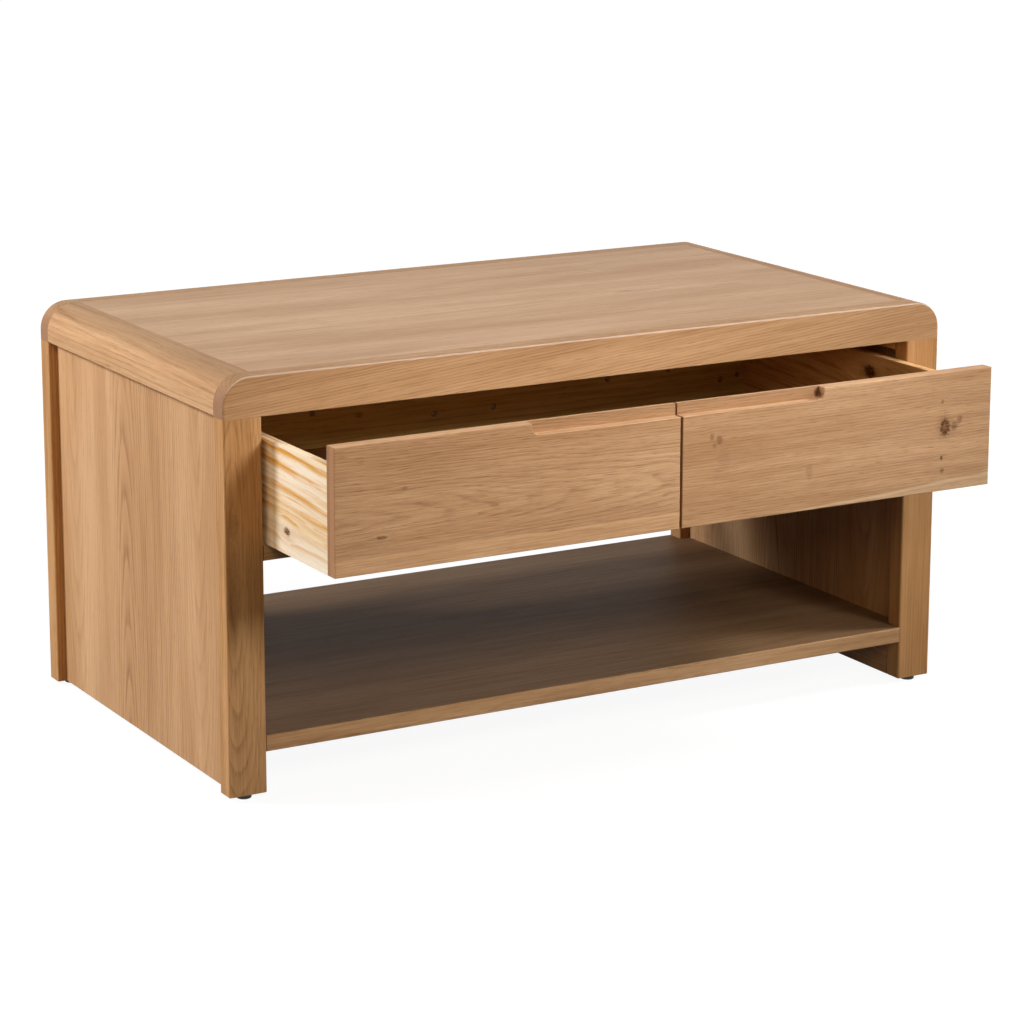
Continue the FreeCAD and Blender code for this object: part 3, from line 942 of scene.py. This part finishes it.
@dataclass
class DrawerWay(WoodWork):
    """What the drawer runs on and between."""

    strip: PlainFinish = PlainFinish(srgb(206, 202, 190), 0.5)

    def dress_all(self) -> None:
        """Dresses the bearers, runners, kickers, guides, stops and strips."""
        self.dress_pair(ENDS, "bearer", WoodFinish(OAK, Cut.FRONT_LENGTHWISE), 41)
        self.dress_pair(SIDES, "runner", WoodFinish(OAK, Cut.FLAT_CROSSWISE), 45)
        self.dress_pair(SIDES, "kicker", WoodFinish(PINE_WITH_PAINTED_SHADE, Cut.SIDE_CROSSWISE), 51)
        self.dress_pair(SIDES, "side_guide", WoodFinish(PINE, Cut.SIDE_CROSSWISE), 53)
        self.dress_pair(SIDES, "drawer_stop", WoodFinish(PINE, Cut.FLAT_CROSSWISE), 55)
        plastic = self.strip.material("runner_plastic")
        for side in SIDES:
            dress(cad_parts[side + "_runner_strip"], plastic)


@dataclass
class DrawerBox(WoodWork):
    """The drawer: oak faces at both ends of a pine box."""

    pine_ring: float = 0.0095
    outer_ring: float = 0.014
    outer_line_share: float = 0.64
    inner_line_share: float = 0.4
    pine_slant: float = -0.05
    # The pull's wall gets painted shade (0.82) and its ledge a painted highlight (1.4).
    pull: Recess = Recess(0.004, 0.0595, 0.82, 1.4)
    face_gloss: float = 0.15
    inner_gloss: float = 0.02
    # Painted highlight on the right drawer side's top edge.
    inner_top_painted_highlight: float = 1.3
    left_sap: Sapwood = Sapwood(-0.0555, edge=0.55)
    right_sap: Sapwood = Sapwood(-0.0695, 0.045, 0.4, edge=0.9, lift=(1.12, 1.28, 1.45))
    outer_sap: Sapwood = Sapwood(-0.008, 0.06, 0.5, lift=(1.0, 1.0, 1.0))
    right_knots: Tuple[Knot, ...] = (
        Knot(0.1549, 0.0061, 0.0092, 0.0145),
        Knot(0.1549, 0.0061, 0.0045, 0.0075, -0.35, 0.0),
        Knot(0.1549, 0.0061, 0.0195, 0.0234, 0.25, 0.003),
        Knot(0.1690, 0.0065, 0.0078, 0.0075, 0.5),
        Knot(0.1770, 0.0135, 0.0062, 0.0072, 0.5),
        Knot(0.1500, 0.0380, 0.0031, 0.0039, 0.6),
        Knot(0.1505, -0.0320, 0.0031, 0.0039, 0.85),
        Knot(0.1520, -0.0480, 0.0044, 0.0039, 0.7),
        Knot(-0.1836, 0.0314, 0.0039, 0.0059, 0.45),
        Knot(-0.1730, 0.0270, 0.0059, 0.0078, 0.5),
        Knot(-0.1800, 0.0200, 0.0039, 0.0039, 0.3),
        Knot(-0.0450, -0.0275, 0.0070, 0.0130, 0.22),
        Knot(-0.1660, 0.0020, 0.0120, 0.0160, 0.14),
        Knot(-0.0285, 0.0665, 0.0045, 0.0075, 0.7),
    )
    left_knots: Tuple[Knot, ...] = (
        Knot(-0.1367, 0.0188, 0.006, 0.003, 0.4),
        Knot(-0.1660, -0.0343, 0.009, 0.003, 0.8),
        Knot(-0.0228, -0.0140, 0.009, 0.0024, 0.3),
        Knot(0.2040, -0.0300, 0.006, 0.002, 0.25),
        Knot(-0.1000, -0.0050, 0.04, 0.006, 0.0, 0.004),
    )
    outer_knots: Tuple[Knot, ...] = (
        Knot(-0.1555, -0.027, 0.0105, 0.0066, 1.0, 0.008),
        Knot(-0.1555, -0.027, 0.03, 0.014, 0.1, 0.008),
    )
    inner_knots: Tuple[Knot, ...] = (
        Knot(-0.042, 0.041, 0.017, 0.011, 0.9, 0.008),
        Knot(-0.042, 0.041, 0.032, 0.017, 0.3, 0.008),
    )
    back_knots: Tuple[Knot, ...] = (
        Knot(-0.1525, -0.0094, 0.008, 0.006, 0.5),
        Knot(0.3136, 0.0022, 0.006, 0.0045, 0.7),
        Knot(0.4250, -0.0154, 0.005, 0.005, 0.6),
    )

    def dress_all(self) -> None:
        """Dresses the faces, boards, sides, battens and bottom."""
        left = replace(
            self._face(self.left_knots, self.left_sap),
            pith_across=-0.012, pith_depth=0.034, rise=0.055, line_share=0.32,
        )
        right = replace(
            self._face(self.right_knots, self.right_sap),
            figure_share=0.2, tone_share=0.16, streak_share=0.42, pore_share=0.5,
        )
        self.dress_wood("front_left_drawer_face", left, 61)
        self.dress_wood("front_right_drawer_face", right, 65)
        self.dress_wood("back_left_drawer_face", replace(left, recess=None), 62)
        self.dress_wood("back_right_drawer_face", replace(right, recess=None), 66)
        board = WoodFinish(BOX_PINE_WITH_PAINTED_SHADE, Cut.FRONT_LENGTHWISE, ring=self.pine_ring, gloss=self.inner_gloss)
        self.dress_wood("front_drawer_board", board, 71)
        self.dress_wood("back_drawer_board", replace(board, knots=self.back_knots), 72)
        outer = replace(
            self._side(PINE, self.outer_line_share, self.outer_knots),
            sapwood=self.outer_sap, ring=self.outer_ring, shiver=1.8,
        )
        self.dress_wood("left_drawer_side", outer, 75)
        inner = self._side(PINE_WITH_PAINTED_SHADE, self.inner_line_share, self.inner_knots)
        self.dress_wood("right_drawer_side", replace(inner, crown=self.inner_top_painted_highlight), 76)
        self.dress_pair(SIDES, "drawer_batten", WoodFinish(PINE, Cut.FLAT_CROSSWISE), 77)
        self.dress_wood("drawer_bottom", WoodFinish(PLY_WITH_PAINTED_SHADE, Cut.FLAT_LENGTHWISE), 81)

    def _face(self, knots: Tuple[Knot, ...], sapwood: Sapwood) -> WoodFinish:
        """The oak of one drawer face.

        Args:
            knots: Its knots.
            sapwood: Its pale lower edge.

        Returns:
            The finish.
        """
        return WoodFinish(
            FACE_OAK, Cut.FRONT_LENGTHWISE, ring=0.0034, wander=0.0022, streak_share=0.48, streak_run=0.05,
            streak_width=0.0011, figure_share=0.13, pore_share=0.6, gloss=self.face_gloss, recess=self.pull,
            knots=knots, sapwood=sapwood,
        )

    def _side(self, tones: WoodTones, line_share: float, knots: Tuple[Knot, ...]) -> WoodFinish:
        """The pine of one drawer side.

        Args:
            tones: Its colours.
            line_share: How strong its rings are.
            knots: Its knots.

        Returns:
            The finish.
        """
        return WoodFinish(
            tones, Cut.SIDE_CROSSWISE, ring=self.pine_ring, pith_across=0.12, pith_depth=0.02, rise=0.0,
            slant=self.pine_slant, line_share=line_share, late_share=0.5, uneven=0.85, shiver=4.0,
            streak_share=0.14, wander=0.003, gloss=self.inner_gloss, knots=knots,
        )


@dataclass
class Hardware(WoodWork):
    """Screws, dowels and foot glides, with lengths in metres and a screw's other sizes as shares."""

    head_rings: int = 10
    sectors: int = 48
    crown_share: float = 0.52
    shank_share: float = 0.47
    tip_share: float = 0.9
    point_share: float = 0.1
    cross_depth: float = 0.0018
    cross_width: float = 0.0014
    cross_reach: float = 0.0023
    # The steel is warmed toward brown: partly its own zinc colour, partly a painted reflection of the wood
    # round the heads.
    steel: PlainFinish = PlainFinish(srgb(150, 118, 80), 0.4, metallic=1.0)
    nylon: PlainFinish = PlainFinish(srgb(26, 25, 24), 0.55)

    def build_all(self) -> None:
        """Builds the screws, and dresses the dowels and glides."""
        steel = self.steel.material("zinc_steel")
        self._build_screws("front_face_screws", "drawer", Vector((0, -1, 0)), steel)
        self._build_screws("back_face_screws", "drawer", Vector((0, 1, 0)), steel)
        self._build_screws("cleat_screws", "table", Vector((0, 0, 1)), steel)
        nylon = self.nylon.material("black_nylon")
        for end in ENDS:
            for side in SIDES:
                dress(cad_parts[end + "_" + side + "_foot"], nylon)
        dowel_cuts = {
            "leg_dowels": Cut.FRONT_UPRIGHT,
            "end_rail_dowels": Cut.SIDE_CROSSWISE,
            "shelf_dowels": Cut.FLAT_LENGTHWISE,
            "runner_dowels": Cut.FLAT_LENGTHWISE,
            "bearer_dowels": Cut.FLAT_LENGTHWISE,
            "drawer_corner_dowels": Cut.FLAT_LENGTHWISE,
        }
        for seed, (group, cut) in enumerate(dowel_cuts.items(), start=91):
            self.dress_wood(group, WoodFinish(BEECH, cut), seed)

    def _build_screws(self, group: str, body: str, axis: Vector, steel: bpy.types.Material) -> None:
        """Builds one group of screws in place of its plain CAD node.

        Args:
            group: The CAD node.
            body: The body that it rides on.
            axis: The way the screws point.
            steel: Their material.
        """
        vertices: List[Vector] = []
        faces: Faces = []
        turn = Vector((0, 0, 1)).rotation_difference(axis)
        for low, high in islands(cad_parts[group]):
            spots, rings = self._screw_shape(low, high, axis)
            start = len(vertices)
            middle = (low + high) / 2
            vertices += [middle + turn @ spot for spot in spots]
            faces += [tuple(start + i for i in ring) for ring in rings]
        mesh = bpy.data.meshes.new(group + "_cross_recess")
        mesh.from_pydata(vertices, [], faces)
        mesh.materials.append(steel)
        for polygon in mesh.polygons:
            polygon.use_smooth = True
        screws = bpy.data.objects.new(group + "_cross_recess", mesh)
        bpy.context.scene.collection.objects.link(screws)
        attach(screws, body)
        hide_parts(group)
        LOG.info("%s stands for %s", screws.name, group)

    def _screw_shape(self, low: Vector, high: Vector, axis: Vector) -> Tuple[List[Vector], Faces]:
        """A screw along Z, its head at the low end, about the middle of its box.

        Args:
            low: The lowest corner of the CAD screw.
            high: The highest corner.
            axis: The way it points.

        Returns:
            Its vertices and faces.
        """
        size = high - low
        length = abs(size.dot(axis))
        head = max(size) / 2 if length < max(size) else min(size) / 2
        crown, shank, tip = self.crown_share * head, self.shank_share * head, self.tip_share * head
        top = -length / 2
        radii = [head * i / self.head_rings for i in range(1, self.head_rings + 1)]
        dome = [(r, top + crown * (1 - math.sqrt(max(0.0, 1 - (r / head) ** 2)))) for r in radii]
        lower = [(shank, top + crown), (shank, length / 2 - tip), (self.point_share * shank, length / 2)]
        spots = [Vector((0, 0, top + self.cross_depth))]
        for radius, height in dome + lower:
            for i in range(self.sectors):
                angle = 2 * math.pi * i / self.sectors
                x, y = radius * math.cos(angle), radius * math.sin(angle)
                sunk = self._recess(x, y) if height < top + crown else 0.0
                spots.append(Vector((x, y, height + sunk)))
        return spots, self._lathe_faces(len(dome) + len(lower))

    def _recess(self, x: float, y: float) -> float:
        """Works out the cross recess at a spot on the head.

        Args:
            x: The spot's place from the middle of the head.
            y: The same at right angles.

        Returns:
            How deep the recess is there.
        """
        arm = min(abs(x), abs(y))
        reach = max(abs(x), abs(y))
        if arm > self.cross_width / 2 or reach > self.cross_reach:
            return 0.0
        return self.cross_depth * math.sqrt(1 - reach / self.cross_reach)

    def _lathe_faces(self, rings: int) -> Faces:
        """Joins rings of vertices round a centre vertex, and closes the far end.

        Args:
            rings: How many rings there are.

        Returns:
            The faces.
        """
        n = self.sectors
        faces: Faces = [(0, 1 + (i + 1) % n, 1 + i) for i in range(n)]
        for ring in range(rings - 1):
            near, far = 1 + ring * n, 1 + (ring + 1) * n
            faces += [(near + i, near + (i + 1) % n, far + (i + 1) % n, far + i) for i in range(n)]
        faces.append(tuple(1 + (rings - 1) * n + i for i in range(n)))
        return faces


def islands(piece: Solid) -> List[Tuple[Vector, Vector]]:
    """The boxes of a piece's separate solids.

    Args:
        piece: The CAD piece.

    Returns:
        The lowest and highest corner of each solid, in the order of their first vertices.
    """
    mesh = piece.data
    leader = list(range(len(mesh.vertices)))
    digits = 6

    def root(i: int) -> int:
        """Finds the vertex that stands for a whole solid.

        Args:
            i: A vertex of the solid.

        Returns:
            The vertex that stands for it.
        """
        while leader[i] != i:
            leader[i] = leader[leader[i]]
            i = leader[i]
        return i

    same: Dict[Tuple[float, ...], int] = {}
    for vertex in mesh.vertices:
        place = tuple(round(c, digits) for c in vertex.co)
        leader[root(vertex.index)] = root(same.setdefault(place, vertex.index))
    for edge in mesh.edges:
        a, b = edge.vertices
        leader[root(a)] = root(b)
    groups: Dict[int, List[Vector]] = {}
    for vertex in mesh.vertices:
        groups.setdefault(root(vertex.index), []).append(vertex.co)
    boxes = []
    for spots in groups.values():
        low = Vector([min(s[k] for s in spots) for k in range(3)])
        high = Vector([max(s[k] for s in spots) for k in range(3)])
        boxes.append((low, high))
    return boxes


@dataclass(frozen=True)
class Lamp:
    """A square soft lamp that looks at a point, in metres and watts."""

    name: str
    place: Place
    aim: Place
    size: float
    power: float
    colour: Colour = (1.0, 1.0, 1.0)
    spread: float = 180.0

    def build(self) -> None:
        """Puts the lamp in the scene."""
        data = bpy.data.lights.new(self.name, "AREA")
        data.shape = "SQUARE"
        data.size = self.size
        data.energy = self.power
        data.color = self.colour
        data.spread = math.radians(self.spread)
        lamp = bpy.data.objects.new(self.name, data)
        lamp.location = self.place
        lamp.rotation_mode = "QUATERNION"
        lamp.rotation_quaternion = (Vector(self.aim) - Vector(self.place)).to_track_quat("-Z", "Y")
        bpy.context.scene.collection.objects.link(lamp)
        LOG.info("lamp %s", self.name)


@dataclass
class Studio:
    """The pale floor, the white surroundings and the lamps."""

    floor_reach: float = 40.0
    floor_albedo: float = 0.12
    near_glow: float = 0.93
    glow_span: Span = (0.7, 1.7)
    ambient: float = 0.01
    lamps: Tuple[Lamp, ...] = (
        Lamp("left_lamp", (-2.38, 0.94, 1.8), (-0.45, 0.0, 0.3), 0.5, 60.0, (0.97, 1.0, 1.06)),
        Lamp("left_fill", (-4.0, 0.25, 0.9), (-0.4, 0.0, 0.3), 1.0, 34.0, (1.0, 0.82, 0.58)),
        Lamp("right_lamp", (2.45, -0.875, 2.1), (0.0, -0.3, 0.35), 0.6, 57.0),
        Lamp("front_lamp", (0.8, -2.3, 1.6), (0.0, -0.35, 0.75), 0.8, 4.7, spread=50.0),
        Lamp("front_left_fill", (-1.5, -3.0, 1.8), (0.0, -0.3, 0.35), 1.0, 20.0, (1.0, 0.76, 0.46)),
    )

    def build_all(self) -> None:
        """Builds the floor, the surroundings and the lamps."""
        self._build_floor()
        self._build_world()
        for lamp in self.lamps:
            lamp.build()

    def _build_floor(self) -> None:
        """A wide floor that looks white and keeps the table's shadow."""
        reach = self.floor_reach
        mesh = bpy.data.meshes.new("studio_floor")
        corners = [(-reach, -reach, 0), (reach, -reach, 0), (reach, reach, 0), (-reach, reach, 0)]
        mesh.from_pydata(corners, [], [(0, 1, 2, 3)])
        graph = Graph(bpy.data.materials.new("white_floor"))
        spot = graph.coordinates("Object")
        far = graph.node("VectorMath", {0: spot}, operation="LENGTH").outputs["Value"]
        glow = graph.step(far, self.glow_span, self.near_glow, 1.0)
        grey = (self.floor_albedo,) * 3
        paint = graph.node("BsdfDiffuse", {"Color": (*grey, 1.0)}).outputs[0]
        light = graph.node("Emission", {"Strength": graph.math("MULTIPLY", glow, graph.seen())}).outputs[0]
        both = graph.node("AddShader", {0: paint, 1: light}).outputs[0]
        graph.node("OutputMaterial", {"Surface": both})
        mesh.materials.append(graph.owner)
        floor = bpy.data.objects.new("studio_floor", mesh)
        bpy.context.scene.collection.objects.link(floor)
        LOG.info("floor %s", floor.name)

    def _build_world(self) -> None:
        """White where it is seen, and a low even light elsewhere."""
        graph = Graph(bpy.data.worlds.new("white_studio"))
        strength = graph.node("MapRange", {0: graph.seen(), 3: self.ambient, 4: 1.0}).outputs[0]
        back = graph.node("Background", {"Color": WHITE, "Strength": strength}).outputs[0]
        graph.node("OutputWorld", {"Surface": back})
        bpy.context.scene.world = graph.owner


@dataclass
class PictureCamera:
    """The camera, where the photograph was taken from.

    Lengths are in metres, angles in degrees, the sensor in millimetres and the picture's measures in pixels.
    """

    place: Place = (-1.96797, -3.48541, 1.23217)
    azimuth: float = -29.847
    elevation: float = 12.307
    roll: float = 0.093
    picture_size: float = 1024.0
    focal_pixels: float = 3206.8
    axis_row: float = 410.0
    sensor: float = 36.0
    clip_end: float = 100.0

    def build(self) -> None:
        """Puts the camera in the scene."""
        data = bpy.data.cameras.new("picture_camera")
        data.sensor_width = self.sensor
        data.lens = self.focal_pixels * self.sensor / self.picture_size
        data.shift_y = (self.axis_row - self.picture_size / 2) / self.picture_size
        data.clip_end = self.clip_end
        camera = bpy.data.objects.new("picture_camera", data)
        turn, lift = math.radians(self.azimuth), math.radians(self.elevation)
        back = Vector((math.sin(turn) * math.cos(lift), -math.cos(turn) * math.cos(lift), math.sin(lift)))
        look = (-back).to_track_quat("-Z", "Y")
        camera.location = self.place
        camera.rotation_mode = "QUATERNION"
        camera.rotation_quaternion = look @ Quaternion((0, 0, 1), math.radians(self.roll))
        bpy.context.scene.collection.objects.link(camera)
        bpy.context.scene.camera = camera
        LOG.info("camera %.1f mm", data.lens)


def main() -> None:
    """Dresses the table, then sets up the studio and the camera."""
    logging.basicConfig(level=logging.INFO, format="%(message)s")
    bpy.context.scene.view_settings.view_transform = "Standard"
    TopFrame().dress_all()
    Stand().dress_all()
    DrawerWay().dress_all()
    DrawerBox().dress_all()
    Hardware().build_all()
    Studio().build_all()
    PictureCamera().build()


if __name__ == "__main__":
    main()
